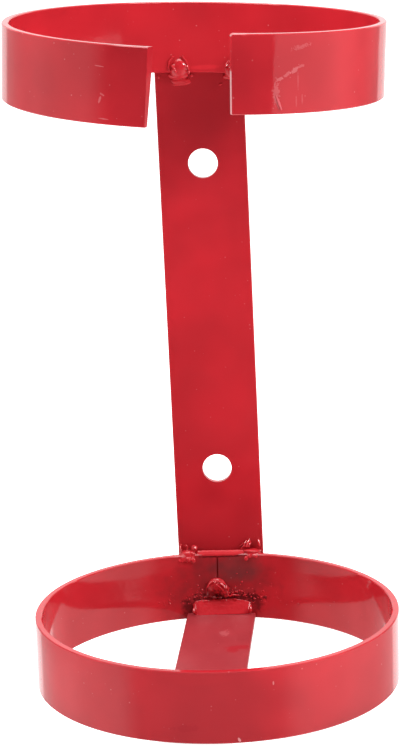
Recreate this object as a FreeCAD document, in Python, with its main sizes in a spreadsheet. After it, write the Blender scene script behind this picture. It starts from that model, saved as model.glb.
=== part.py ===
import FreeCAD, Part
import math
import os

import Sketcher

# Wall bracket for a fire extinguisher: a flat plate with two bolt holes, welded to the backs
# of two collars rolled from flat bar. The lower collar is closed and has a strap across its
# foot that the extinguisher stands on. The upper collar is open at the front.
#
# Frame: millimetres, +Z up, +Y towards the wall. The origin is on the plate's back face,
# midway between its two holes. Left and right are as seen from the front, with +X to the
# right. A positive tilt lowers a collar's right side.

Vector = FreeCAD.Vector

# Driving dimensions, in millimetres and degrees

DRIVING_SIZES = {
    # wall plate
    "plate_width": 40.0,
    "plate_length": 282.0,
    "plate_thickness": 3.0,
    "hole_diameter": 13.5,
    "hole_spacing": 144.0,
    # flat bar that both collars are rolled from
    "collar_diameter": 160.0,
    "collar_height": 31.5,
    "collar_thickness": 3.0,
    "bar_edge_chamfer": 0.4,
    # upper collar: its place on the plate and its spring, which leaves the right end higher
    "upper_inset": 11.6,
    "upper_side": 0.7,
    "upper_tilt": 3.6,
    "upper_twist": 6.1,
    # opening between the upper collar's ends, and how far each end is sheared off square
    "gap_width": 33.0,
    "gap_side": 0.5,
    "gap_flare": 1.0,
    "left_bevel_top": 41.0,
    "left_bevel_foot": 20.0,
    "right_bevel": 13.0,
    "right_corner_radius": 1.5,
    # lower collar: its place on the plate and its butt seam
    "lower_inset": 12.3,
    "lower_side": -0.7,
    "lower_tilt": 1.06,
    "seam_side": -1.4,
    "seam_gap": 0.5,
    # strap across the foot of the lower collar
    "strap_width": 32.0,
    "strap_thickness": 3.0,
    "strap_side": -3.5,
    "strap_yaw": 2.7,
    "strap_end_clearance": 0.1,
    # welds between the plate and the collars
    "plate_weld_throat": 3.0,
    "plate_weld_root": 2.0,
    "upper_weld_width": 9.8,
    "upper_weld_wall_reach": 7.0,
    "upper_weld_plate_reach": 3.6,
    "upper_left_weld_side": -9.0,
    "upper_right_weld_side": 13.6,
    "lower_weld_width": 10.0,
    "lower_weld_wall_reach": 5.0,
    "lower_weld_plate_reach": 5.0,
    "lower_left_weld_side": -14.4,
    "lower_right_weld_side": 14.4,
    # weld over the seam, on the inside of the lower collar
    "seam_weld_side": -2.5,
    "seam_weld_width": 10.0,
    "seam_weld_share": 0.33,
    "seam_weld_clearance": 0.35,
    "seam_weld_throat": 2.6,
    # fillet welds at the two ends of the strap
    "strap_weld_length": 25.6,
    "strap_weld_leg": 6.0,
    "strap_weld_root": 2.0,
}

# How far a cutting outline runs past what it cuts
OVERCUT = 6.0
# A cut that only grazes an edge passes it by this much
GRAZE = 0.1
# The tool that cuts the upper collar's opening ends at this share of the bore's radius
GAP_REACH = 0.9
# The upper collar is rolled nearly closed, and its opening is then cut out
ROLLED_TURNS = 354.0 / 360.0
# Volume that a cut has to take away at the least, in cubic millimetres
LEAST_CUT = 1.0
# A lump of weld metal ends in its wall at this latitude of its ellipsoid, in degrees
ROOT_LATITUDE = 20.0
# A strap weld melts this share of the way into the collar's wall
ROOT_SHARE = 0.5

document = FreeCAD.newDocument("extinguisher_bracket")


def add_sizes():
    """The sheet of driving dimensions: one named cell each."""
    sheet = document.addObject("Spreadsheet::Sheet", "Sizes")
    for row, (name, value) in enumerate(DRIVING_SIZES.items(), start=1):
        sheet.set(f"A{row}", name)
        sheet.set(f"B{row}", str(value))
        sheet.setAlias(f"B{row}", name)
    document.recompute()
    return sheet


sizes_sheet = add_sizes()

# Lengths that follow from the driving dimensions

COLLAR_RADIUS = "(Sizes.collar_diameter / 2)"
BORE_RADIUS = "(Sizes.collar_diameter / 2 - Sizes.collar_thickness)"
COLLAR_HALF = "(Sizes.collar_height / 2)"
COLLAR_DEPTH = f"(Sizes.plate_thickness + {COLLAR_RADIUS})"
WELD_ROOT = f"({BORE_RADIUS} + {ROOT_SHARE} * Sizes.collar_thickness)"
# Rise of the upper collar from the back to either of its rolled ends
ROLLED_RISE = f"(Sizes.upper_twist * {ROLLED_TURNS} / 2)"


def value_of(expression):
    """The number that an expression of the sizes stands for now."""
    return float(sizes_sheet.evalExpression(expression))


def turned(x, y, z, axis, angle):
    """Expression for a placement: a turn by an angle about an axis, then a shift."""
    axis_x, axis_y, axis_z = axis
    turn = f"rotation(vector({axis_x}; {axis_y}; {axis_z}); {angle})"
    return f"placement(vector({x}; {y}; {z}); {turn})"


def collar_frame(name, height):
    """Frame at a collar's middle, tilted about the line of sight from the front."""
    tilt = f"Sizes.{name}_tilt"
    return turned(f"Sizes.{name}_side", f"-{COLLAR_DEPTH}", height, (0, 1, 0), tilt)


UPPER_FRAME = collar_frame("upper", "Sizes.plate_length / 2 - Sizes.upper_inset")
LOWER_FRAME = collar_frame("lower", "Sizes.lower_inset - Sizes.plate_length / 2")
# The strap's frame is the lower collar's, turned so that +Y runs along the strap
STRAP_FRAME = f"lower_ring.Placement * {turned(0, 0, 0, (0, 0, 1), '-Sizes.strap_yaw')}"


# Bodies, sketches and features


def origin_plane(body, role):
    for feature in body.Origin.OriginFeatures:
        if feature.Role == role:
            return feature
    raise RuntimeError(f"{body.Label} has no {role}")


def add_body(name, place):
    body = document.addObject("PartDesign::Body", name)
    body.Label = name
    body.setExpression("Placement", place)
    return body


def add_sketch(body, name, role, shift="0", turn="0"):
    """Sketch on an origin plane, shifted along its normal and turned about its vertical."""
    sketch = body.newObject("Sketcher::SketchObject", name)
    sketch.AttachmentSupport = [(origin_plane(body, role), "")]
    sketch.MapMode = "FlatFace"
    sketch.setExpression("AttachmentOffset", turned(0, 0, shift, (0, 1, 0), turn))
    return sketch


def constrain(sketch, *what):
    return sketch.addConstraint(Sketcher.Constraint(*what))


def hold(sketch, kind, *where, size):
    """Dimension that follows an expression."""
    index = constrain(sketch, kind, *where, value_of(size))
    sketch.setExpression(f"Constraints[{index}]", size)


def hold_point(sketch, geometry, position, x, y):
    """Hold a point at x, y from the sketch's origin, both given as expressions."""
    hold(sketch, "DistanceX", -1, 1, geometry, position, size=x)
    hold(sketch, "DistanceY", -1, 1, geometry, position, size=y)


def point_at(x, y):
    return Vector(value_of(x), value_of(y), 0)


def add_arc(sketch, x, y, radius, start, end):
    """Arc of known radius. Its ends are joined to its neighbours afterwards."""
    circle = Part.Circle(point_at(x, y), Vector(0, 0, 1), value_of(radius))
    arc = sketch.addGeometry(Part.ArcOfCircle(circle, math.radians(start), math.radians(end)), False)
    hold(sketch, "Radius", arc, size=radius)
    return arc


def round_right_turn(sketch, before, after, x, y, radius):
    """Round the corner at x, y, where an anticlockwise outline going up turns to the right."""
    point = sketch.addGeometry(Part.Point(point_at(x, y)), True)
    hold_point(sketch, point, 1, x, y)
    arc = add_arc(sketch, f"{x} + {radius}", f"{y} - {radius}", radius, 90, 180)
    for line in (before, after):
        constrain(sketch, "PointOnObject", point, 1, line)
    constrain(sketch, "Tangent", before, 2, arc, 2)
    constrain(sketch, "Tangent", after, 1, arc, 1)


def outline(sketch, corners):
    """Closed anticlockwise outline. A corner is x and y as expressions, and may have a radius."""
    points = [point_at(x, y) for x, y, *_ in corners]
    lines = []
    for index, point in enumerate(points):
        following = points[(index + 1) % len(points)]
        lines.append(sketch.addGeometry(Part.LineSegment(point, following), False))
    for index, (x, y, *radius) in enumerate(corners):
        if radius:
            round_right_turn(sketch, lines[index - 1], lines[index], x, y, *radius)
        else:
            constrain(sketch, "Coincident", lines[index - 1], 2, lines[index], 1)
            hold_point(sketch, lines[index], 1, x, y)


def rectangle(sketch, half_width, half_height, x="0", y="0"):
    """Rectangle about a centre, all as expressions."""
    left, right = f"{x} - {half_width}", f"{x} + {half_width}"
    foot, top = f"{y} - {half_height}", f"{y} + {half_height}"
    outline(sketch, [(left, foot), (right, foot), (right, top), (left, top)])


def add_feature(body, kind, name, sketch):
    feature = body.newObject(f"PartDesign::{kind}", name)
    feature.Profile = sketch
    return feature


def add_pad(body, name, sketch, depth):
    pad = add_feature(body, "Pad", name, sketch)
    pad.setExpression("Length", depth)
    document.recompute()
    return pad


def check_cut(body, volume_before):
    document.recompute()
    if body.Shape.Volume > volume_before - LEAST_CUT:
        raise RuntimeError(f"{body.Label}: {body.Tip.Label} cuts nothing")


def add_pocket(body, name, sketch, depth, behind=True):
    """Pocket of a given depth, on the side that the sketch faces away from or towards."""
    volume_before = body.Shape.Volume
    pocket = add_feature(body, "Pocket", name, sketch)
    pocket.Reversed = not behind
    pocket.setExpression("Length", depth)
    check_cut(body, volume_before)


def break_bar_edges(body, bar):
    """Break the four long edges of a flat bar, which are the longest that it has."""
    edges = body.Shape.Edges
    by_length = sorted(range(len(edges)), key=lambda number: edges[number].Length)
    broken = body.newObject("PartDesign::Chamfer", f"{body.Label}_edges")
    broken.Base = (bar, [f"Edge{number + 1}" for number in sorted(by_length[-4:])])
    broken.setExpression("Size", "Sizes.bar_edge_chamfer")
    document.recompute()


# Wall plate


def make_back_plate():
    """Flat bar on the wall, with a hole for a bolt in each half of its length."""
    body = add_body("back_plate", turned(0, 0, 0, (0, 0, 1), 0))
    face = add_sketch(body, "plate_outline", "XZ_Plane")
    rectangle(face, "Sizes.plate_width / 2", "Sizes.plate_length / 2")
    plate = add_pad(body, "plate", face, "Sizes.plate_thickness")
    break_bar_edges(body, plate)
    holes = add_sketch(body, "bolt_circles", "XZ_Plane")
    for height in ("Sizes.hole_spacing / 2", "-Sizes.hole_spacing / 2"):
        middle = point_at("0", height)
        circle = Part.Circle(middle, Vector(0, 0, 1), value_of("Sizes.hole_diameter / 2"))
        hole = holes.addGeometry(circle, False)
        hold_point(holes, hole, 3, "0", height)
        hold(holes, "Radius", hole, size="Sizes.hole_diameter / 2")
    add_pocket(body, "bolt_holes", holes, "Sizes.plate_thickness", behind=False)
    return body


# Collars


def add_bar_section(body, turn, height):
    """Cross-section of the collar's flat bar, on a plane turned about the collar's axis."""
    section = add_sketch(body, f"{body.Label}_section", "XZ_Plane", turn=turn)
    middle = f"({COLLAR_RADIUS} - Sizes.collar_thickness / 2)"
    rectangle(section, "Sizes.collar_thickness / 2", COLLAR_HALF, x=middle, y=height)
    return section


def make_lower_ring():
    """Closed collar. Its ends meet behind, over the plate, in a butt seam."""
    body = add_body("lower_ring", LOWER_FRAME)
    section = add_bar_section(body, "0", "0")
    band = add_feature(body, "Revolution", "lower_band", section)
    band.ReferenceAxis = (section, ["V_Axis"])
    band.Angle = 360
    document.recompute()
    break_bar_edges(body, band)
    seam = add_sketch(body, "seam_slot", "XZ_Plane", shift=f"-{COLLAR_RADIUS} - {OVERCUT}")
    seam_height = f"({COLLAR_HALF} + {OVERCUT})"
    rectangle(seam, "Sizes.seam_gap / 2", seam_height, x="Sizes.seam_side")
    seam_depth = f"2 * {OVERCUT} + Sizes.collar_thickness"
    add_pocket(body, "seam", seam, seam_depth, behind=False)
    return body


def gap_corners(depth):
    """Outline of the upper collar's opening, on a plane this far behind the collar's front."""
    half = "(Sizes.gap_width / 2)"
    top = "tan(Sizes.left_bevel_top)"
    foot = "tan(Sizes.left_bevel_foot)"
    # Distance behind the corner of the collar's outer face, where the width is measured
    behind = f"({depth} - {COLLAR_RADIUS} + sqrt({COLLAR_RADIUS}^2 - {half}^2))"
    far = f"({COLLAR_HALF} + Sizes.upper_twist + {OVERCUT})"
    # Top edge of the bar at the right end, where the twist has lifted it
    turns = f"(0.5 - {half} / (2 * pi * {COLLAR_RADIUS}))"
    edge = f"({COLLAR_HALF} + Sizes.upper_twist * {turns} + {GRAZE})"
    corner = "Sizes.right_corner_radius"
    # The outline leaves the bar's top edge beyond the rounded corner
    shoulder_side = f"(2 * {corner} + {OVERCUT})"

    def left(height):
        share = f"({height} / Sizes.collar_height)"
        width = f"({half} - Sizes.gap_flare * {share})"
        slope = f"(({top} + {foot}) / 2 + ({top} - {foot}) * {share})"
        return f"(Sizes.gap_side - {width} + {slope} * {behind})"

    def right(height):
        width = f"({half} - Sizes.gap_flare * {height} / Sizes.collar_height)"
        return f"(Sizes.gap_side + {width} - tan(Sizes.right_bevel) * {behind})"

    shoulder = f"({right(edge)} + {shoulder_side})"
    return [
        (left(f"(-{far})"), f"-{far}"),
        (right(f"(-{far})"), f"-{far}"),
        (right(edge), edge, corner),
        (shoulder, edge),
        (shoulder, far),
        (left(far), far),
    ]


def make_upper_ring():
    """Sprung collar, open at the front. It climbs as it goes round, so its ends don't meet."""
    body = add_body("upper_ring", UPPER_FRAME)
    start = f"-90 - 180 * (1 - {ROLLED_TURNS})"
    section = add_bar_section(body, start, f"(-{ROLLED_RISE})")
    band = add_feature(body, "AdditiveHelix", "upper_band", section)
    band.ReferenceAxis = (section, ["V_Axis"])
    band.Mode = 0
    band.LeftHanded = True
    band.setExpression("Pitch", "Sizes.upper_twist")
    band.setExpression("Height", f"2 * {ROLLED_RISE}")
    document.recompute()
    break_bar_edges(body, band)
    volume_before = body.Shape.Volume
    planes = []
    for name, depth in (
        ("gap_front", f"(-{OVERCUT})"),
        ("gap_back", f"({COLLAR_RADIUS} - {GAP_REACH} * {BORE_RADIUS})"),
    ):
        plane = add_sketch(body, name, "XZ_Plane", shift=f"{COLLAR_RADIUS} - {depth}")
        outline(plane, gap_corners(depth))
        planes.append(plane)
    gap = add_feature(body, "SubtractiveLoft", "gap", planes[0])
    gap.Sections = planes[1:]
    gap.Ruled = True
    check_cut(body, volume_before)
    return body


# Strap


def make_base_strap():
    """Flat bar across the lower collar's foot, flush with its bottom edge."""
    # The farther corners stop just short of the bore
    corner = "(Sizes.strap_width / 2 + abs(Sizes.strap_side))"
    half_length = f"(sqrt({BORE_RADIUS}^2 - {corner}^2) - Sizes.strap_end_clearance)"
    place = turned("Sizes.strap_side", 0, f"-{COLLAR_HALF}", (0, 0, 1), 0)
    body = add_body("base_strap", f"{STRAP_FRAME} * {place}")
    face = add_sketch(body, "strap_outline", "XY_Plane")
    rectangle(face, "Sizes.strap_width / 2", half_length)
    strap = add_pad(body, "strap", face, "Sizes.strap_thickness")
    break_bar_edges(body, strap)
    return body


# Welds


def add_lump(name, place, width, height, throat, root="0"):
    """Lump of weld metal: an ellipsoid that stands on a wall and melts into it.

    The place is on the wall, with Y into it. Width and height are half sizes along X and Z.
    The throat is how far the lump stands out, and the root how deep its middle lies.
    """
    lump = document.addObject("Part::Ellipsoid", name)
    outwards = turned(0, root, 0, (1, 0, 0), 90)
    lump.setExpression("Placement", f"{place} * {outwards}")
    lump.setExpression("Radius1", f"{throat} + {root}")
    lump.setExpression("Radius2", width)
    lump.setExpression("Radius3", height)
    lump.Angle1 = -ROOT_LATITUDE
    return lump


def trim(name, weld, *neighbours):
    """The weld less what it lies on, so that it meets each neighbour face to face."""
    for neighbour in neighbours:
        trimmed = document.addObject("Part::Cut", f"{name}_off_{neighbour.Name}")
        trimmed.Base = weld
        trimmed.Tool = neighbour
        weld = trimmed
    weld.Label = name
    return weld


def on_bore(collar, side, height):
    """Placement on a collar's bore wall, with Y into the wall and Z up it."""
    turn = f"-asin({side} / {BORE_RADIUS})"
    place = turned(side, f"sqrt({BORE_RADIUS}^2 - ({side})^2)", height, (0, 0, 1), turn)
    return f"{collar.Name}.Placement * {place}"


def make_plate_weld(name, side, outward, plate, collar, collar_welds):
    """Weld over the corner between a collar's edge and the plate. Outward is up or down."""
    edge = f"({outward} * {COLLAR_HALF})"
    on_wall = f"Sizes.{collar_welds}_weld_wall_reach"
    on_plate = f"Sizes.{collar_welds}_weld_plate_reach"
    lump = add_lump(
        f"{name}_lump",
        on_bore(collar, side, f"({edge} + {outward} * ({on_plate} - {on_wall}) / 2)"),
        f"Sizes.{collar_welds}_weld_width / 2",
        f"({on_wall} + {on_plate}) / 2",
        "Sizes.plate_weld_throat",
        "Sizes.plate_weld_root",
    )
    return trim(name, lump, plate, collar)


def make_seam_weld(lower_ring):
    """Lump of weld over the seam, clear of the strap's weld. It fills the seam behind it."""
    half_height = "(Sizes.seam_weld_share * Sizes.collar_height / 2)"
    strap_weld_top = f"(Sizes.strap_thickness + Sizes.strap_weld_leg - {COLLAR_HALF})"
    lump = add_lump(
        "seam_weld_lump",
        on_bore(
            lower_ring,
            "Sizes.seam_weld_side",
            f"({strap_weld_top} + Sizes.seam_weld_clearance + {half_height})",
        ),
        "Sizes.seam_weld_width / 2",
        half_height,
        "Sizes.seam_weld_throat",
    )
    return trim("seam_weld", lump, lower_ring)


def add_bead_section(body, name, turn):
    """Quarter round in the corner, with a root that goes down past the strap's end."""
    section = add_sketch(body, name, "YZ_Plane", turn=turn)
    leg = "Sizes.strap_weld_leg"
    toe = f"({BORE_RADIUS} - {leg})"
    root = "(-Sizes.strap_weld_root)"
    corners = [(toe, "0"), (toe, root), (WELD_ROOT, root), (WELD_ROOT, leg), (BORE_RADIUS, leg)]
    points = [point_at(x, y) for x, y in corners]
    lines = []
    for start, end in zip(points, points[1:]):
        lines.append(section.addGeometry(Part.LineSegment(start, end), False))
    for line, corner in zip(lines, corners):
        hold_point(section, line, 1, *corner)
    hold_point(section, lines[-1], 2, *corners[-1])
    for line, following in zip(lines, lines[1:]):
        constrain(section, "Coincident", line, 2, following, 1)
    face = add_arc(section, BORE_RADIUS, "0", leg, 90, 180)
    constrain(section, "Coincident", lines[-1], 2, face, 1)
    constrain(section, "Coincident", lines[0], 1, face, 2)
    # Axis that a rounded end turns about, inside the collar's wall
    pivot = [Vector(value_of(WELD_ROOT), value_of(y), 0) for y in (root, leg)]
    axis = section.addGeometry(Part.LineSegment(*pivot), True)
    hold_point(section, axis, 1, WELD_ROOT, root)
    hold_point(section, axis, 2, WELD_ROOT, leg)
    return section


def make_strap_weld(name, aim, strap, lower_ring):
    """Fillet weld round the inside of the bore, over one end of the strap."""
    # The rounded ends reach as far along the bore as the section is wide
    end_reach = f"(Sizes.strap_weld_leg + {WELD_ROOT} - {BORE_RADIUS})"
    half_run = f"(Sizes.strap_weld_length / 2 - {end_reach})"
    half_angle = f"({half_run} / {BORE_RADIUS} * 180 / pi)"
    top = f"(Sizes.strap_thickness - {COLLAR_HALF})"
    body = add_body(f"{name}_bead", f"{STRAP_FRAME} * {turned(0, 0, top, (0, 0, 1), aim)}")
    section = add_bead_section(body, f"{name}_section", "0")
    run = add_feature(body, "Revolution", f"{name}_run", section)
    run.ReferenceAxis = (section, ["V_Axis"])
    run.Midplane = True
    run.setExpression("Angle", f"2 * {half_angle}")
    for hand, direction in (("left", 1), ("right", -1)):
        section = add_bead_section(body, f"{name}_{hand}_section", f"{direction} * {half_angle}")
        end = add_feature(body, "Revolution", f"{name}_{hand}_end", section)
        end.ReferenceAxis = (section, ["Axis0"])
        end.Angle = 90
        end.Reversed = direction > 0
        document.recompute()
    return trim(name, body, strap, lower_ring)


def make_pieces():
    plate = make_back_plate()
    upper = make_upper_ring()
    lower = make_lower_ring()
    strap = make_base_strap()
    pieces = [plate, upper, lower, strap]
    for collar, name, outward in ((upper, "upper", -1), (lower, "lower", 1)):
        for hand in ("left", "right"):
            side = f"Sizes.{name}_{hand}_weld_side"
            pieces.append(make_plate_weld(f"{name}_{hand}_weld", side, outward, plate, collar, name))
    pieces.append(make_seam_weld(lower))
    strap_aim = f"asin(Sizes.strap_side / {BORE_RADIUS})"
    pieces.append(make_strap_weld("strap_rear_weld", f"-{strap_aim}", strap, lower))
    pieces.append(make_strap_weld("strap_front_weld", f"180 deg + {strap_aim}", strap, lower))
    return pieces


def check_pieces(pieces):
    for item in document.Objects:
        if "Invalid" in item.State or "Error" in item.State:
            raise RuntimeError(f"{item.Label} failed: {item.State}")
    for piece in pieces:
        shape = piece.Shape
        if shape.isNull() or not shape.isValid() or len(shape.Solids) != 1:
            raise RuntimeError(f"{piece.Label} isn't one valid solid")
        print(f"{piece.Label}: {shape.Volume:.1f} mm3")


pieces = make_pieces()
document.recompute()
check_pieces(pieces)
os.makedirs("parts", exist_ok=True)
for piece in pieces:
    piece.Shape.exportStep(f"parts/{piece.Label}.step")
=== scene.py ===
import math
import random

import bpy
from mathutils import Matrix, Vector


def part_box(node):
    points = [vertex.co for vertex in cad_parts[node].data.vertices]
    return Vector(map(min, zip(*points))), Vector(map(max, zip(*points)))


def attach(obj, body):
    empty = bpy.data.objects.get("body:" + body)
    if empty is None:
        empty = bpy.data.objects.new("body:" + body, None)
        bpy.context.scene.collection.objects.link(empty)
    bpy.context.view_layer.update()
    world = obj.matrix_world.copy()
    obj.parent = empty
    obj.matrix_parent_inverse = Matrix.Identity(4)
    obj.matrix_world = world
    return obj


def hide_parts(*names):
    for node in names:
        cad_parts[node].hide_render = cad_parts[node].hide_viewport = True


# The CAD frame
# Wall bracket for a fire extinguisher, welded up from mild steel flat bar and sprayed with
# gloss red enamel. Metres, +Z up, +Y towards the wall, +X to the right seen from the front.

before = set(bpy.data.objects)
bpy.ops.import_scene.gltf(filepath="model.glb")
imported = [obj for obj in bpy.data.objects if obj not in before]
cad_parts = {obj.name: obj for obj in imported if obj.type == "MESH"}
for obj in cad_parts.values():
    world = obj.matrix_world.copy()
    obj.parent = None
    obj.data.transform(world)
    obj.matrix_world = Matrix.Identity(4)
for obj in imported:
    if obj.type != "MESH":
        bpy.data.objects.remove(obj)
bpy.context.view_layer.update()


# Flat bars: back plate, both collars and the strap
# Hot-rolled flat bar, cut, rolled and welded, then sprayed with one coat of gloss enamel.
# The coat carries dust nibs, weld smoke shows through it, and handling has scuffed it. Some marks are painted
# shade and painted highlights.

MM = 0.001
ENAMEL_RED = "#D02933"
ENAMEL_DEEP_RED = "#BC242D"
NIB_PINK = "#F0A8AA"
SCUFF_AND_HIGHLIGHT_PINK = "#E08084"
LIP_AND_HIGHLIGHT_RED = "#E0303A"
SHADE_RED = "#861B23"
DUSTY_RED = "#AE373E"
DUSTY_DEEP_RED = "#A03138"
SOOT_AND_SHADE_BROWN = "#552A2C"
SOOT_AND_SHADE_GREY = "#5A3C3C"
SOOT_AND_SHADOW_DARK = "#3A1012"
SCRAPE_RED = "#AE1C28"
ENAMEL_IOR = 1.5


def linear_colour(hex_colour):
    """sRGB hex colour as linear RGBA."""
    channels = []
    for start in (1, 3, 5):
        share = int(hex_colour[start:start + 2], 16) / 255
        if share <= 0.04045:
            channels.append(share / 12.92)
        else:
            channels.append(((share + 0.055) / 1.055) ** 2.4)
    return (*channels, 1.0)


def add_node(tree, kind, inputs=(), **settings):
    """Node with its settings. Each input is a socket and the value or output that it takes."""
    node = tree.nodes.new(kind)
    for name, value in settings.items():
        setattr(node, name, value)
    for socket, value in dict(inputs).items():
        if isinstance(value, bpy.types.NodeSocket):
            tree.links.new(value, node.inputs[socket])
        else:
            node.inputs[socket].default_value = value
    return node


def mark(point, radii, colour, share, ragged=0.6, soft=0.3, grain=1.5 * MM, turn=(0, 0, 0)):
    """Ellipsoid in which the coat is tinted. The point and the radii are in millimetres and the
    turn in degrees, the share is how much of the red is hidden, and the border is ragged or
    soft by the given shares of the radius, with flecks of the given grain in metres."""
    return Vector(point) * MM, Vector(radii) * MM, colour, share, ragged, soft, grain, turn


def enamel(name, thin=ENAMEL_RED, thick=ENAMEL_DEEP_RED, nibs=0.15, marks=(), gloss=(0.05, 0.12)):
    """Red enamel, from the colours of a thin and of a thick coat. Nibs is the share of 2 mm
    cells that hold a speck of dust, and gloss the range of the roughness."""
    material = bpy.data.materials.new(name)
    material.use_nodes = True
    tree = material.node_tree
    tree.nodes.clear()
    place = add_node(tree, "ShaderNodeTexCoord").outputs["Object"]

    # Thickness of the coat: deeper red where it is thick, over 40 mm or so
    clouds = add_node(tree, "ShaderNodeTexNoise", {"Vector": place, "Scale": 1 / (40 * MM), "Detail": 2.0})
    depth = add_node(tree, "ShaderNodeMapRange", {
        "Value": clouds.outputs["Fac"], "From Min": 0.35, "From Max": 0.7,
    })
    colour = add_node(tree, "ShaderNodeMix", {
        0: depth.outputs["Result"], 6: linear_colour(thin), 7: linear_colour(thick),
    }, data_type="RGBA").outputs[2]

    # Smoke, scuffs, sags and rubbed marks, and painted shade and painted highlights
    for point, radii, mark_colour, share, ragged, soft, grain, turn in marks:
        local = add_node(tree, "ShaderNodeMapping", {
            "Vector": place, "Location": point, "Scale": radii,
            "Rotation": [math.radians(angle) for angle in turn],
        }, vector_type="TEXTURE")
        distance = add_node(tree, "ShaderNodeVectorMath", {0: local.outputs["Vector"]}, operation="LENGTH")
        flecks = add_node(tree, "ShaderNodeTexNoise", {"Vector": place, "Scale": 1 / grain, "Detail": 4.0})
        edge = add_node(tree, "ShaderNodeMath", {
            0: flecks.outputs["Fac"], 1: 2 * ragged, 2: 1 - ragged,
        }, operation="MULTIPLY_ADD")
        level = add_node(tree, "ShaderNodeMath", {
            0: edge.outputs["Value"], 1: distance.outputs["Value"],
        }, operation="SUBTRACT")
        cover = add_node(tree, "ShaderNodeMapRange", {
            "Value": level.outputs["Value"], "From Max": soft, "To Max": share,
        }, interpolation_type="SMOOTHSTEP")
        colour = add_node(tree, "ShaderNodeMix", {
            0: cover.outputs["Result"], 6: colour, 7: linear_colour(mark_colour),
        }, data_type="RGBA").outputs[2]

    # Dust nibs, up to 0.9 mm across at the foot, in chosen cells of 2 mm
    cells = add_node(tree, "ShaderNodeTexVoronoi", {"Vector": place, "Scale": 1 / (2 * MM)})
    chance = add_node(tree, "ShaderNodeSeparateColor", {"Color": cells.outputs["Color"]})
    nib_reach = add_node(tree, "ShaderNodeMath", {
        0: chance.outputs["Blue"], 1: 0.13, 2: cells.outputs["Distance"],
    }, operation="MULTIPLY_ADD")
    speck = add_node(tree, "ShaderNodeMapRange", {
        "Value": nib_reach.outputs["Value"], "From Min": 0.22, "From Max": 0.08,
    })
    chosen = add_node(tree, "ShaderNodeMath", {0: chance.outputs["Red"], 1: nibs}, operation="LESS_THAN")
    nib = add_node(tree, "ShaderNodeMath", {
        0: speck.outputs["Result"], 1: chosen.outputs["Value"],
    }, operation="MULTIPLY")
    # some are pale and some hardly show
    nib_share = add_node(tree, "ShaderNodeMath", {
        0: nib.outputs["Value"], 1: chance.outputs["Green"],
    }, operation="MULTIPLY")
    nib_tint = add_node(tree, "ShaderNodeMath", {0: nib_share.outputs["Value"], 1: 0.5}, operation="MULTIPLY")
    colour = add_node(tree, "ShaderNodeMix", {
        0: nib_tint.outputs["Value"], 6: colour, 7: linear_colour(NIB_PINK),
    }, data_type="RGBA").outputs[2]

    # Gloss is uneven over 18 mm or so
    sheen = add_node(tree, "ShaderNodeTexNoise", {"Vector": place, "Scale": 1 / (18 * MM), "Detail": 3.0})
    roughness = add_node(tree, "ShaderNodeMapRange", {
        "Value": sheen.outputs["Fac"], "From Min": 0.3, "From Max": 0.7,
        "To Min": gloss[0], "To Max": gloss[1],
    })

    # Orange peel of 2 mm under the nibs
    peel = add_node(tree, "ShaderNodeTexNoise", {"Vector": place, "Scale": 1 / (2 * MM), "Detail": 1.0})
    height = add_node(tree, "ShaderNodeMath", {
        0: nib.outputs["Value"], 1: 2.0, 2: peel.outputs["Fac"],
    }, operation="MULTIPLY_ADD")
    bump = add_node(tree, "ShaderNodeBump", {
        "Height": height.outputs["Value"], "Strength": 0.15, "Distance": 0.1 * MM,
    })

    shader = add_node(tree, "ShaderNodeBsdfPrincipled", {
        "Base Color": colour,
        "Roughness": roughness.outputs["Result"],
        "IOR": ENAMEL_IOR,
        "Normal": bump.outputs["Normal"],
    })
    add_node(tree, "ShaderNodeOutputMaterial", {"Surface": shader.outputs["BSDF"]})
    return material


def coat(piece, material):
    piece.data.materials.clear()
    piece.data.materials.append(material)


def middle(node):
    low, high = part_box(node)
    return (low + high) / 2


def on_collar(node, angle, level):
    """Point in millimetres on a collar's outer face, by the angle in degrees from straight in
    front and by the level over the CAD frame's middle."""
    centre = middle(node) / MM
    radius = (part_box(node)[1].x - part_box(node)[0].x) / 2 / MM
    turn = math.radians(angle)
    return centre.x + radius * math.sin(turn), centre.y - radius * math.cos(turn), level


def shade(point, radii, share, soft=0.8):
    """Broad patch of deeper red, partly a thicker coat and partly painted shade where less light comes."""
    return mark(point, radii, SHADE_RED, share, ragged=0.3, soft=soft, grain=20 * MM)


def scuff_and_highlight_spot(angle, level, radii, share, ragged, grain, lean, soft=0.25):
    """Pale spot on the upper collar's outer face, in millimetres, for the rubbed spots and for the painted
    highlights on streaks where the coat ran. It leans clockwise by the given degrees, seen from outside."""
    place = on_collar("upper_ring", angle, level)
    return mark(place, radii, SCUFF_AND_HIGHLIGHT_PINK, share, ragged, soft, grain * MM, turn=(0, lean, angle))


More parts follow.
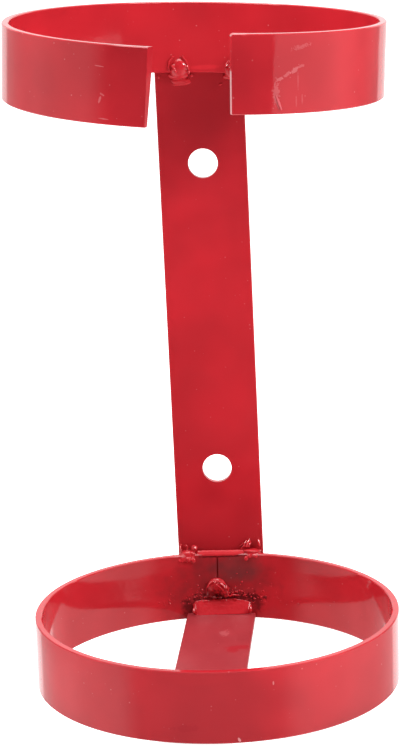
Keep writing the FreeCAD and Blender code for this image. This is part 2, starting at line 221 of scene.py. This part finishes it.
coat(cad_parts["back_plate"], enamel("gloss_enamel_plate", nibs=0.1, marks=[
    # painted shade at the plate's top, under the upper collar, and at its foot, above the lower collar
    shade((0, -3, 98), (70, 40, 76), 0.45, soft=0.9),
    shade((0, -3, -125), (70, 40, 68), 0.38, soft=0.9),
]))
coat(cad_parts["upper_ring"], enamel("gloss_enamel_upper_collar", marks=[
    # deeper red in the middle of the front face: a thicker coat and painted shade
    shade(on_collar("upper_ring", 1, 129), (50, 34, 40), 0.32),
    # rubbed spots on the right, that climb along a bend, and one above them
    scuff_and_highlight_spot(24.9, 122.5, (1.5, 3, 4.4), 0.3, ragged=1.6, grain=0.8, lean=4),
    scuff_and_highlight_spot(26.2, 127.8, (1.6, 3, 0.8), 0.4, ragged=1.0, grain=0.7, lean=-20),
    scuff_and_highlight_spot(28.5, 129.3, (2.3, 3, 0.8), 0.34, ragged=1.4, grain=0.7, lean=-28),
    scuff_and_highlight_spot(30.9, 130.6, (2.2, 3, 0.9), 0.45, ragged=1.2, grain=0.6, lean=-30),
    scuff_and_highlight_spot(33.2, 132, (1.6, 3, 0.6), 0.3, ragged=1.2, grain=0.7, lean=-10),
    scuff_and_highlight_spot(33.4, 139.6, (3.6, 3, 0.9), 0.25, ragged=2.0, grain=0.7, lean=-8),
    # painted highlights along streaks where the coat ran, the first beside the run
    mark(
        on_collar("upper_ring", 25.2, 118.4), (0.4, 2, 3.6), SCUFF_AND_HIGHLIGHT_PINK, 0.5,
        ragged=0.4, soft=0.4, grain=1 * MM, turn=(0, -20, 26.6),
    ),
    scuff_and_highlight_spot(32, 126.4, (0.45, 2, 4.2), 0.18, ragged=0.6, soft=0.5, grain=1, lean=0),
    scuff_and_highlight_spot(31.3, 118.4, (0.4, 2, 3), 0.22, ragged=0.6, soft=0.5, grain=1, lean=0),
    scuff_and_highlight_spot(33.3, 119, (0.4, 2, 2.4), 0.22, ragged=0.6, soft=0.5, grain=1, lean=0),
    # fat edge along the foot of the inner face, between the welds, with a painted highlight of brighter red
    # along it
    mark((3, -6, 116), (9, 3, 1.4), LIP_AND_HIGHLIGHT_RED, 0.6, ragged=0.3, soft=0.6),
    # thin scratches on the left
    scuff_and_highlight_spot(-25.3, 136, (2.4, 4, 0.25), 0.5, ragged=0.4, soft=0.3, grain=0.8, lean=8),
    scuff_and_highlight_spot(-25.6, 123, (0.5, 4, 1.6), 0.5, ragged=0.8, soft=0.2, grain=0.8, lean=24),
    scuff_and_highlight_spot(-24.8, 125, (1.2, 4, 0.4), 0.4, ragged=0.8, soft=0.2, grain=0.8, lean=30),
    scuff_and_highlight_spot(-24.6, 115.4, (2.4, 4, 0.3), 0.5, ragged=0.5, soft=0.3, grain=0.8, lean=6),
]))
coat(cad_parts["lower_ring"], enamel("gloss_enamel_lower_collar", marks=[
    # deeper red in the middle of the front face: a thicker coat and painted shade
    shade(on_collar("lower_ring", -4, -130), (64, 34, 40), 0.28),
    # weld smoke and painted shade inside the bore, grey beside the seam and dark by the strap's ends
    mark((-2, -9, -129), (36, 12, 22), SOOT_AND_SHADE_BROWN, 0.58, ragged=0.5, soft=0.8, grain=6 * MM),
    mark((8.5, -6, -119.5), (17, 8, 10), SOOT_AND_SHADE_GREY, 0.55, ragged=0.35, soft=0.7, grain=4 * MM),
    mark((-7, -6, -118), (9, 8, 6), SOOT_AND_SHADE_BROWN, 0.35, ragged=0.5, soft=0.7, grain=4 * MM),
    # painted shadow along the top of the inner face, under the enamel lip
    mark((0, -6.4, -114.1), (14, 2.5, 0.9), SOOT_AND_SHADOW_DARK, 0.75, ragged=0.3, soft=0.5),
    # smoke and painted shade above the strap's weld and in the corners by the strap's ends
    mark((2, -6, -134.5), (20, 8, 3), SOOT_AND_SHADOW_DARK, 0.7, ragged=1.2, soft=0.5, grain=1.6 * MM),
    mark((-16, -8, -138.5), (4.5, 8, 6.5), SOOT_AND_SHADOW_DARK, 0.7, ragged=0.7, soft=0.8, grain=1.6 * MM),
    mark((15.5, -8, -137), (4.5, 8, 6.5), SOOT_AND_SHADOW_DARK, 0.65, ragged=0.7, soft=0.8, grain=1.6 * MM),
    # deeper red under the rim in front
    mark(
        on_collar("lower_ring", -7, -116.5), (28, 5, 3), ENAMEL_DEEP_RED, 0.7,
        ragged=0.4, soft=0.7, grain=5 * MM,
    ),
    # a sag near the foot, and two nicks
    mark(
        on_collar("lower_ring", -8.6, -137.6), (6.5, 3, 1.7), SCRAPE_RED, 0.6,
        ragged=1.1, soft=0.3, grain=3 * MM,
    ),
    mark(on_collar("lower_ring", 7, -143), (0.6, 1, 1.2), NIB_PINK, 0.8, ragged=0.3, turn=(0, -25, 7)),
    mark(on_collar("lower_ring", 18, -120), (0.4, 1, 1.0), NIB_PINK, 0.5, ragged=0.3, turn=(0, 0, 18)),
]))
coat(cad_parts["base_strap"], enamel(
    "dusty_gloss_enamel_strap", thin=DUSTY_RED, thick=DUSTY_DEEP_RED, gloss=(0.32, 0.42), marks=[
        # a scrape by the right edge, and a rubbed spot
        mark((7.4, -56, -141.6), (6.5, 2.8, 2), SCRAPE_RED, 0.9, ragged=0.5, soft=0.3, turn=(0, 0, 8)),
        mark((4.8, -60, -141.6), (3.6, 3.4, 2), SCRAPE_RED, 0.85, ragged=0.5, soft=0.5, turn=(0, 0, -50)),
        mark((0.7, -37, -141.5), (2.6, 4, 2), SCUFF_AND_HIGHLIGHT_PINK, 0.3, ragged=1.0, soft=0.4),
    ],
))


# Welds between the plate and the collars
# Short stick welds in mild steel, lumpy and burred, sprayed over with the same enamel. Each is
# a puddle over the corner of a collar's edge and the plate, with ridges, drips and spatter.

VOXEL = 0.2 * MM
FLAKE_THICKNESS = 0.6
FLAKE_ROUND = 0.15
weld_coat = enamel("gloss_enamel_over_weld", nibs=0.0, gloss=(0.08, 0.14))
ripple = bpy.data.textures.new("weld_ripple", "CLOUDS")
ripple.noise_scale = 1.4 * MM
ripple.noise_depth = 2


def lobe(place, radii, lean=0, detail=4):
    """Ball of weld metal, in millimetres, with its lean clockwise in degrees seen from the front."""
    bpy.ops.mesh.primitive_ico_sphere_add(
        subdivisions=detail, radius=MM, location=Vector(place) * MM, scale=radii,
        rotation=(0, math.radians(lean), 0),
    )
    return bpy.context.object


def ridge(points, width, depth):
    """Balls set closely along a line of points, as one raised rib, with its half width and its
    half depth in millimetres."""
    balls = []
    for start, end in zip(points, points[1:]):
        start, end = Vector(start), Vector(end)
        steps = max(1, round((end - start).length / (0.7 * width)))
        for step in range(steps + 1):
            place = start.lerp(end, step / steps)
            balls.append(lobe(place, (width, depth, width), detail=3))
    return balls


def slab(place, size, round_off, nod=0):
    """Block with rounded edges, in millimetres. It nods about X, in degrees."""
    bpy.ops.object.select_all(action="DESELECT")
    bpy.ops.mesh.primitive_cube_add(
        size=MM, location=Vector(place) * MM, scale=size, rotation=(math.radians(nod), 0, 0),
    )
    bpy.ops.object.transform_apply(location=False, rotation=False, scale=True)
    bpy.ops.object.mode_set(mode="EDIT")
    bpy.ops.mesh.select_all(action="SELECT")
    bpy.ops.mesh.bevel(offset=round_off * MM, segments=3, affect="EDGES")
    bpy.ops.object.mode_set(mode="OBJECT")
    return bpy.context.object


def flake(place, length, width, lean=0, nod=24, turn=28):
    """Flat chip of weld metal in millimetres. It leans in its own plane, and faces up by the nod
    and to the right by the turn, in degrees."""
    chip = slab(place, (length, FLAKE_THICKNESS, width), FLAKE_ROUND)
    chip.rotation_mode = "YXZ"
    chip.rotation_euler = (math.radians(-nod), math.radians(lean), math.radians(turn))
    return chip


def join(name, pieces):
    bpy.ops.object.select_all(action="DESELECT")
    for piece in pieces:
        piece.select_set(True)
    bpy.context.view_layer.objects.active = pieces[0]
    bpy.ops.object.join()
    joined = bpy.context.object
    joined.name = name
    bpy.ops.object.transform_apply(location=True, rotation=True, scale=True)
    return joined


def apply_modifier(piece, kind, **settings):
    modifier = piece.modifiers.new(kind.lower(), kind)
    for name, value in settings.items():
        setattr(modifier, name, value)
    bpy.context.view_layer.objects.active = piece
    bpy.ops.object.modifier_apply(modifier=modifier.name)


def melt(name, pieces, node=None, ripples=0.2, flow=2, material=weld_coat, chips=()):
    """Melts the pieces of a weld into one skin, lets it flow, ripples it by so many millimetres,
    adds the chips with their edges crisp, and coats it."""
    weld = join(name, pieces)
    apply_modifier(weld, "REMESH", mode="VOXEL", voxel_size=VOXEL)
    apply_modifier(weld, "SMOOTH", iterations=flow)
    apply_modifier(weld, "DISPLACE", texture=ripple, texture_coords="LOCAL", strength=ripples * MM)
    weld = join(name, [weld, *chips])
    bpy.ops.object.shade_smooth_by_angle(angle=math.radians(40))
    coat(weld, material)
    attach(weld, "root")
    if node:
        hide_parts(node)


# upper left: a smooth button between two ribs, with a flat run below it on the plate
melt("upper_left_bead", [
    lobe((-8.6, -4.8, 116.2), (4.4, 3.6, 4.7)),
    lobe((-9.2, -4.0, 112.6), (4.6, 2.4, 1.8)),
    *ridge(
        [(-11.2, -6.8, 121.2), (-12.9, -7.2, 119.4), (-13.4, -7.2, 117.0), (-12.9, -7.0, 115.2)],
        0.5, 1.0,
    ),
    *ridge([(-11.6, -8.2, 117.6), (-10.8, -8.6, 116.0), (-10.2, -8.3, 114.4)], 0.45, 0.8),
    *ridge([(-6.9, -6.2, 121.2), (-5.4, -6.4, 119.4), (-4.6, -6.4, 117.2), (-4.3, -6.0, 114.6)], 0.5, 1.2),
    lobe((-4.9, -7.0, 116.6), (0.7, 0.8, 0.7)),
    lobe((-4.4, -6.6, 114.0), (0.7, 0.8, 0.9)),
    lobe((-3.2, -5.0, 112.2), (0.7, 0.9, 0.7)),
    lobe((-8.2, -3.0, 109.9), (4.4, 1.0, 1.7)),
    lobe((-6.4, -3.0, 108.9), (2.8, 0.8, 1.1), lean=-8),
    lobe((-9.4, -3.0, 108.2), (2.6, 0.5, 0.6)),
    lobe((-18.0, -3.4, 112.0), (0.5, 0.6, 0.9)),
], "upper_left_weld", ripples=0.12, chips=[
    flake((-11.0, -8.5, 116.3), 2.8, 0.7, lean=62),
    flake((-5.0, -7.9, 117.0), 1.0, 0.8),
    flake((-4.4, -7.5, 114.3), 1.0, 0.9),
])

# upper right: mostly behind the open collar's end, with a burr that stands off its left side
melt("upper_right_bead", [
    lobe((15.0, -5.4, 114.6), (3.7, 3.4, 4.5)),
    lobe((14.6, -4.0, 111.0), (3.8, 2.2, 1.6)),
    *ridge([(11.9, -8.6, 115.9), (12.8, -8.9, 117.2), (14.2, -8.8, 118.9)], 0.35, 0.5),
    *ridge([(12.3, -7.6, 115.4), (12.6, -7.2, 113.4), (13.2, -6.4, 111.6), (13.8, -4.4, 109.6)], 0.35, 0.7),
    lobe((9.6, -3.2, 107.6), (1.0, 0.5, 0.5), lean=-30),
], "upper_right_weld", ripples=0.12, chips=[
    flake((13.0, -8.8, 117.5), 3.4, 0.9, lean=-48),
    flake((13.9, -8.6, 115.9), 2.4, 0.9, lean=-100),
])

# lower left: lumps over the collar's rim, a ball of spatter, and a flat lobe inside the bore
melt("lower_left_bead", [
    lobe((-15.6, -4.8, -114.0), (4.4, 3.2, 3.2)),
    *ridge([(-18.8, -4.4, -108.4), (-19.0, -4.6, -110.4), (-18.8, -5.0, -112.4)], 0.45, 0.8),
    *ridge(
        [(-17.0, -4.0, -109.2), (-16.2, -4.6, -108.6), (-15.6, -4.8, -109.4), (-15.9, -4.9, -110.6)],
        0.35, 0.6,
    ),
    lobe((-12.4, -5.4, -109.9), (1.5, 1.5, 1.6)),
    lobe((-10.8, -5.0, -112.0), (0.6, 0.7, 0.6)),
    lobe((-13.6, -6.2, -112.4), (1.8, 1.4, 1.2)),
    lobe((-18.4, -7.8, -114.7), (2.0, 0.7, 1.4), lean=-8),
    lobe((-15.4, -7.9, -114.8), (1.2, 1.1, 1.3)),
    lobe((-13.0, -7.9, -115.2), (1.1, 1.0, 1.3)),
], "lower_left_weld", ripples=0.25, chips=[
    flake((-12.0, -6.7, -109.5), 1.5, 1.5, lean=20),
    flake((-18.9, -5.4, -110.2), 3.4, 0.5, lean=84),
    flake((-10.6, -5.6, -111.8), 0.9, 0.7),
    flake((-18.3, -8.2, -114.9), 3.4, 1.5, lean=-12, nod=34, turn=14),
])

# lower right: three flakes that slant up to the right, and a drop at the plate's edge
melt("lower_right_bead", [
    lobe((14.6, -4.6, -114.2), (4.3, 3.0, 2.8)),
    lobe((14.4, -5.4, -112.2), (4.0, 2.0, 0.8), lean=4),
    lobe((12.4, -4.0, -109.2), (2.4, 0.9, 1.2), lean=-48),
    *ridge([(9.0, -3.8, -110.3), (10.0, -4.4, -109.4), (10.6, -4.4, -108.6)], 0.3, 0.5),
    *ridge([(9.4, -4.2, -111.6), (10.8, -4.8, -110.8)], 0.3, 0.5),
    lobe((18.0, -4.0, -108.6), (0.7, 1.0, 1.8)),
    lobe((18.3, -4.8, -112.4), (0.8, 0.8, 0.6)),
    lobe((11.8, -7.7, -115.2), (1.1, 0.9, 1.2)),
    lobe((13.0, -7.8, -114.2), (0.8, 0.8, 0.7)),
    lobe((16.4, -7.6, -114.4), (1.2, 0.8, 0.9)),
], "lower_right_weld", ripples=0.2, chips=[
    flake((11.4, -5.0, -108.6), 3.6, 0.6, lean=-50),
    flake((12.7, -5.1, -108.5), 4.0, 0.8, lean=-54),
    flake((13.6, -5.2, -109.3), 2.8, 0.7, lean=-46),
    flake((10.2, -5.0, -110.4), 2.4, 0.4, lean=-35),
    flake((18.0, -5.0, -108.6), 3.2, 0.9, lean=86),
])


# Weld over the lower collar's seam
# Stick weld that bridges the butt joint inside the bore: a bright crown over a ragged foot,
# darkened by smoke and by painted shade under the weld.

seam_coat = enamel("gloss_enamel_over_seam_weld", nibs=0.0, gloss=(0.08, 0.14), marks=[
    # smoke and painted shade under the weld's foot
    mark((-4.5, -8, -134.6), (8, 5, 5.6), SOOT_AND_SHADOW_DARK, 0.7, ragged=1.0, soft=0.5, grain=1.6 * MM),
])
melt("seam_bead", [
    lobe((-2.6, -6.4, -128.8), (4.4, 2.3, 4.0)),
    lobe((-5.4, -6.2, -131.2), (2.6, 1.7, 3.0), lean=10),
    lobe((0.4, -6.2, -131.0), (2.8, 1.8, 3.2), lean=-10),
    # rib up the left and over the crown
    *ridge([(-7.1, -7.0, -129.0), (-6.2, -7.8, -127.2), (-4.4, -8.0, -125.8)], 0.5, 0.9),
    lobe((-3.2, -8.2, -125.9), (0.7, 0.6, 0.5)),
    # streaks down the right
    *ridge([(-1.2, -8.4, -126.0), (0.0, -8.3, -127.2), (0.7, -8.0, -128.8)], 0.5, 0.9),
    *ridge([(-2.3, -8.8, -127.5), (-1.0, -8.9, -128.6), (0.0, -8.6, -130.0)], 0.5, 0.8),
    *ridge([(1.0, -7.8, -127.2), (2.0, -7.4, -128.8), (2.7, -6.9, -130.8)], 0.45, 0.8),
    # ragged foot
    lobe((-6.4, -6.9, -133.4), (1.5, 0.9, 1.0), lean=20),
    lobe((-3.9, -7.3, -134.2), (1.2, 0.9, 0.8)),
    lobe((-1.3, -7.0, -134.4), (0.8, 0.9, 0.7)),
    lobe((1.6, -6.9, -133.4), (1.4, 0.9, 0.8), lean=-15),
    *ridge([(3.2, -6.8, -133.8), (5.0, -6.9, -133.2), (7.4, -7.1, -133.4)], 0.35, 0.5),
], "seam_weld", ripples=0.25, material=seam_coat, chips=[
    flake((-6.3, -8.2, -127.2), 3.4, 0.6, lean=-50),
    flake((-3.4, -8.7, -126.2), 0.9, 0.9),
    flake((-0.2, -9.0, -127.2), 2.6, 0.9, lean=48),
    flake((0.9, -8.9, -128.4), 3.0, 0.8, lean=52),
    flake((2.1, -8.2, -129.0), 2.6, 0.5, lean=60),
])


# Welds over the strap's ends
# Fillet welds in mild steel, laid in the corner of the strap and the lower collar's wall and
# sprayed over: bent round the bore, nearly flat across, with a ragged top and a drop at both ends.

# In millimetres: how high a fillet climbs the wall, how far it reaches over the strap, and how
# deep its root goes into both
FILLET_HEIGHT = 6.2
FILLET_REACH = 4.9
FILLET_ROOT = 1.0
FILLET_CUTS = 24
# the drops at its ends stand off the wall, and over the strap
DROP_OFF_WALL = 3.6
DROP_RISE = 2.4
DROP_RADII = (0.8, 0.9, 1.6)
BAR_THICKNESS = 3.0
STRAP_TOP = -141.45

low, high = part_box("lower_ring")
bore_centre = Vector(((low.x + high.x) / 2, (low.y + high.y) / 2, 0)) / MM
bore_radius = (high.y - low.y) / 2 / MM - BAR_THICKNESS


def outward(x, side):
    """Direction from the bore's axis to its wall at x, on the rear side (1) or the front (-1)."""
    x -= bore_centre.x
    return Vector((x, side * math.sqrt(bore_radius ** 2 - x ** 2), 0)).normalized()


def fillet(from_x, to_x, side):
    """Block bent round the bore. Its section is a triangle in the corner of wall and strap."""
    bpy.ops.object.select_all(action="DESELECT")
    bpy.ops.mesh.primitive_cube_add(size=1)
    bpy.ops.object.mode_set(mode="EDIT")
    bpy.ops.mesh.select_all(action="SELECT")
    bpy.ops.mesh.subdivide(number_cuts=FILLET_CUTS)
    bpy.ops.object.mode_set(mode="OBJECT")
    block = bpy.context.object
    for vertex in block.data.vertices:
        along, depth, rise = vertex.co
        # lower and shallower at both ends, and more so at the right
        fullness = 0.7 + 0.3 * math.sqrt(max(0, 1 - abs(2 * along) ** 9)) - 0.6 * max(0, along - 0.2)
        front, top = 0.5 - depth, 0.5 + rise
        direction = outward(from_x + (along + 0.5) * (to_x - from_x), side)
        inward = front * FILLET_REACH * fullness * (1 - top) - (1 - front) * FILLET_ROOT
        place = bore_centre + (bore_radius - inward) * direction
        place.z = STRAP_TOP + FILLET_HEIGHT * fullness * top - (1 - front) * FILLET_ROOT
        vertex.co = place * MM
    return block


random.seed(3)
for name, node, side, from_x, to_x in (
    ("strap_rear_bead", "strap_rear_weld", 1, -14.2, 13.4),
    ("strap_front_bead", "strap_front_weld", -1, -20.6, 4.6),
):
    pieces = [fillet(from_x, to_x, side)]
    # lumps that make the top ragged
    for share in (0.22, 0.52, 0.72):
        direction = outward(from_x + share * (to_x - from_x), side)
        place = bore_centre + (bore_radius - 0.4) * direction
        place.z = STRAP_TOP + FILLET_HEIGHT * random.uniform(0.86, 0.98)
        pieces.append(lobe(place, (random.uniform(1.0, 2.2), 0.7, 0.6)))
    chips = []
    for x in (from_x - 0.2, to_x + 0.2):
        place = bore_centre + (bore_radius - DROP_OFF_WALL) * outward(x, side)
        place.z = STRAP_TOP + DROP_RISE
        pieces.append(lobe(place, DROP_RADII))
        chip_place = (place.x, place.y - side * DROP_RADII[1], place.z + 0.3)
        chips.append(flake(chip_place, 2.2, 0.8, lean=90, turn=side * 28))
    melt(name, pieces, node, ripples=0.14, flow=4, chips=chips)


# Lip of enamel
# The coat has run together along the lower collar's rim, in its corner with the plate, and
# dried there as a satin rib between the two welds.

LIP_DEPTH = -5.15
LIP_LEVEL = -112.95
LIP_SLOPE = -0.018
LIP_SIZE = (5.2, 2.1, 2.9)
lip_coat = enamel("satin_enamel_lip", thin=LIP_AND_HIGHLIGHT_RED, thick=ENAMEL_RED, nibs=0.0, gloss=(0.34, 0.42))
melt("lower_enamel_lip", [
    slab((x, LIP_DEPTH, LIP_LEVEL + LIP_SLOPE * x), LIP_SIZE, round_off=0.8, nod=-32)
    for x in (-9, -5, -1, 3, 7, 9)
], ripples=0.05, flow=14, material=lip_coat)


# Run of enamel on the upper collar
# The same enamel ran in a thin rib on the outer face, to the right of the gap, and dried there.
# Its coat is painted paler than the coat round it, as a painted highlight along the rib.

# paler pinks of the run: a painted highlight
RUN_HIGHLIGHT_PINK = "#DE6068"
RUN_HIGHLIGHT_DEEP_PINK = "#D8545C"
run_highlight_coat = enamel("satin_enamel_run_painted_highlight", thin=RUN_HIGHLIGHT_PINK, thick=RUN_HIGHLIGHT_DEEP_PINK, nibs=0.0, gloss=(0.3, 0.4))
RUN_ANGLE = 25.6
enamel_run = lobe(on_collar("upper_ring", RUN_ANGLE, 118.6), (0.45, 0.06, 3.2), lean=-20)
enamel_run.rotation_euler.z = math.radians(RUN_ANGLE)
enamel_run = join("enamel_run", [enamel_run])
bpy.ops.object.shade_smooth()
coat(enamel_run, run_highlight_coat)
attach(enamel_run, "root")


# Spatter
# Beads of mild steel that flew off the arc and stuck inside the lower collar, sprayed over
# with the rest.

BEAD_COUNT = 150
BEAD_RADII = (0.2, 0.25, 0.3, 0.3, 0.4, 0.55)
LOWEST_BEAD = STRAP_TOP + 4
COVERED_HALF_WIDTH = 14
COVERED_RISE = 3

random.seed(7)
beads = []
for index in range(BEAD_COUNT):
    # thick near the strap's weld, thin higher up
    x = random.gauss(1, 13)
    rise = abs(random.gauss(0, 6))
    size = random.choice(BEAD_RADII)
    place = bore_centre + bore_radius * outward(x, 1)
    # the strap's weld would cover those that are low and near the middle
    if abs(x - bore_centre.x) < COVERED_HALF_WIDTH and rise < COVERED_RISE:
        rise += COVERED_RISE
    beads.append(lobe((place.x, place.y, LOWEST_BEAD + rise), (size, size * 0.8, size), detail=2))
spatter = join("weld_spatter", beads)
bpy.ops.object.shade_smooth()
coat(spatter, weld_coat)
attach(spatter, "root")


# Studio
# White table and backdrop, tall pale panels at both sides, and three soft boxes: one on
# either side and one overhead. The camera stands about a metre away, a little above.

FLOOR_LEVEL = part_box("lower_ring")[0].z - 0.1 * MM
FLOOR_SIZE = 8.0
FLOOR_WHITE = "#F2F2F2"

bpy.ops.object.select_all(action="DESELECT")
bpy.ops.mesh.primitive_plane_add(size=FLOOR_SIZE, location=(0, 0, FLOOR_LEVEL))
floor = bpy.context.object
floor.name = "studio_table"
table_top = bpy.data.materials.new("white_table_top")
table_top.use_nodes = True
tree = table_top.node_tree
tree.nodes.clear()
ray = add_node(tree, "ShaderNodeLightPath")
matt = add_node(tree, "ShaderNodeBsdfDiffuse", {"Color": linear_colour(FLOOR_WHITE)})
glow = add_node(tree, "ShaderNodeEmission", {"Strength": ray.outputs["Is Camera Ray"]})
both = add_node(tree, "ShaderNodeAddShader", {0: matt.outputs["BSDF"], 1: glow.outputs["Emission"]})
add_node(tree, "ShaderNodeOutputMaterial", {"Surface": both.outputs["Shader"]})
floor.data.materials.append(table_top)
floor.visible_glossy = False

# Radiance round the object, by the azimuth in degrees from straight in front and by the sine
# of the elevation
ROOM_RADIANCE = 0.064
# the right panel's hard edge is lost between these heights
PANEL_FOOT = (-0.32, -0.22)

world = bpy.data.worlds.new("studio")
bpy.context.scene.world = world
world.use_nodes = True
tree = world.node_tree
tree.nodes.clear()
direction = add_node(tree, "ShaderNodeTexCoord").outputs["Generated"]
axes = add_node(tree, "ShaderNodeSeparateXYZ", {"Vector": direction})
ahead = add_node(tree, "ShaderNodeMath", {0: axes.outputs["Y"], 1: -1.0}, operation="MULTIPLY")
azimuth = add_node(tree, "ShaderNodeMath", {
    0: axes.outputs["X"], 1: ahead.outputs["Value"],
}, operation="ARCTAN2")
degrees = add_node(tree, "ShaderNodeMath", {0: azimuth.outputs["Value"]}, operation="DEGREES")
bearing = degrees.outputs["Value"]
height = axes.outputs["Z"]


def band(value, rise_from, rise_to, fall_from, fall_to, strength):
    """Rises from 0 to the strength between the first two values and falls between the others."""
    rise = add_node(tree, "ShaderNodeMapRange", {
        "Value": value, "From Min": rise_from, "From Max": rise_to, "To Max": strength,
    }, interpolation_type="SMOOTHSTEP")
    fall = add_node(tree, "ShaderNodeMapRange", {
        "Value": value, "From Min": fall_from, "From Max": fall_to, "To Min": 1.0, "To Max": 0.0,
    }, interpolation_type="SMOOTHSTEP")
    return add_node(tree, "ShaderNodeMath", {
        0: rise.outputs["Result"], 1: fall.outputs["Result"],
    }, operation="MULTIPLY").outputs["Value"]


def product(one, other):
    return add_node(tree, "ShaderNodeMath", {0: one, 1: other}, operation="MULTIPLY").outputs["Value"]


away = add_node(tree, "ShaderNodeMath", {0: bearing}, operation="ABSOLUTE").outputs["Value"]
radiance = ROOM_RADIANCE
for light in (
    # panel at the right, with a hard edge towards the front that its foot loses
    product(band(bearing, 48.5, 49.5, 92, 125, 0.92), band(height, *PANEL_FOOT, 2, 3, 1.0)),
    product(band(bearing, 36, 56, 92, 125, 0.68), band(height, -3, -2, *PANEL_FOOT, 1.0)),
    # panel at the left, soft at both edges
    band(bearing, -140, -100, -66, -47, 0.76),
    # pale walls at the sides, and the white wall behind
    band(bearing, 95, 125, 145, 152, 0.32),
    band(bearing, -152, -145, -140, -110, 0.48),
    band(away, 144, 150, 200, 210, 1.1),
    # ceiling, and the table beyond the bracket's foot
    band(height, 0.85, 0.97, 1.5, 2.0, 0.72),
    band(height, -2.0, -1.5, -0.335, -0.32, 0.36),
):
    radiance = add_node(tree, "ShaderNodeMath", {0: radiance, 1: light}, operation="ADD").outputs["Value"]
ray = add_node(tree, "ShaderNodeLightPath")
seen = add_node(tree, "ShaderNodeMix", {0: ray.outputs["Is Camera Ray"], 2: radiance, 3: 1.0})
background = add_node(tree, "ShaderNodeBackground", {"Color": (1, 1, 1, 1), "Strength": seen.outputs[0]})
add_node(tree, "ShaderNodeOutputWorld", {"Surface": background.outputs["Background"]})


def soft_lamp(name, azimuth, elevation, distance, size, power):
    """Square softbox aimed at the bracket's middle."""
    bpy.ops.object.light_add(type="AREA")
    lamp = bpy.context.object
    lamp.name = name
    lamp.data.size = size
    lamp.data.energy = power
    turn, rise = math.radians(azimuth), math.radians(elevation)
    aim = Vector((math.sin(turn) * math.cos(rise), -math.cos(turn) * math.cos(rise), math.sin(rise)))
    lamp.location = middle("back_plate") + distance * aim
    lamp.rotation_euler = aim.to_track_quat("Z", "Y").to_euler()


soft_lamp("right_softbox", azimuth=60, elevation=27, distance=1.5, size=0.3, power=9)
soft_lamp("left_softbox", azimuth=-60, elevation=27, distance=1.5, size=0.3, power=5)
soft_lamp("overhead_softbox", azimuth=0, elevation=87, distance=1.0, size=0.7, power=8)

# The photograph's frame is 400 by 746 and its focal length 2500 pixels
IMAGE_HEIGHT = 746
FOCAL_PIXELS = 2500.1
AZIMUTH = math.radians(2.143)
PITCH = math.radians(13.788)
ROLL = math.radians(-2.746)
CAMERA_PLACE = Vector((36.187, -1127.205, 250.211)) * MM

right = Vector((math.cos(AZIMUTH), math.sin(AZIMUTH), 0))
back = Vector((math.sin(AZIMUTH) * math.cos(PITCH), -math.cos(AZIMUTH) * math.cos(PITCH), math.sin(PITCH)))
up = back.cross(right)
rolled_right = math.cos(ROLL) * right + math.sin(ROLL) * up
rolled_up = math.cos(ROLL) * up - math.sin(ROLL) * right
bpy.ops.object.camera_add()
camera = bpy.context.object
camera.name = "photo_camera"
turn = Matrix((rolled_right, rolled_up, back)).transposed().to_4x4()
camera.matrix_world = Matrix.Translation(CAMERA_PLACE) @ turn
camera.data.sensor_width = 36.0
camera.data.lens = FOCAL_PIXELS * camera.data.sensor_width / IMAGE_HEIGHT
bpy.context.scene.camera = camera
bpy.context.scene.view_settings.view_transform = "Standard"
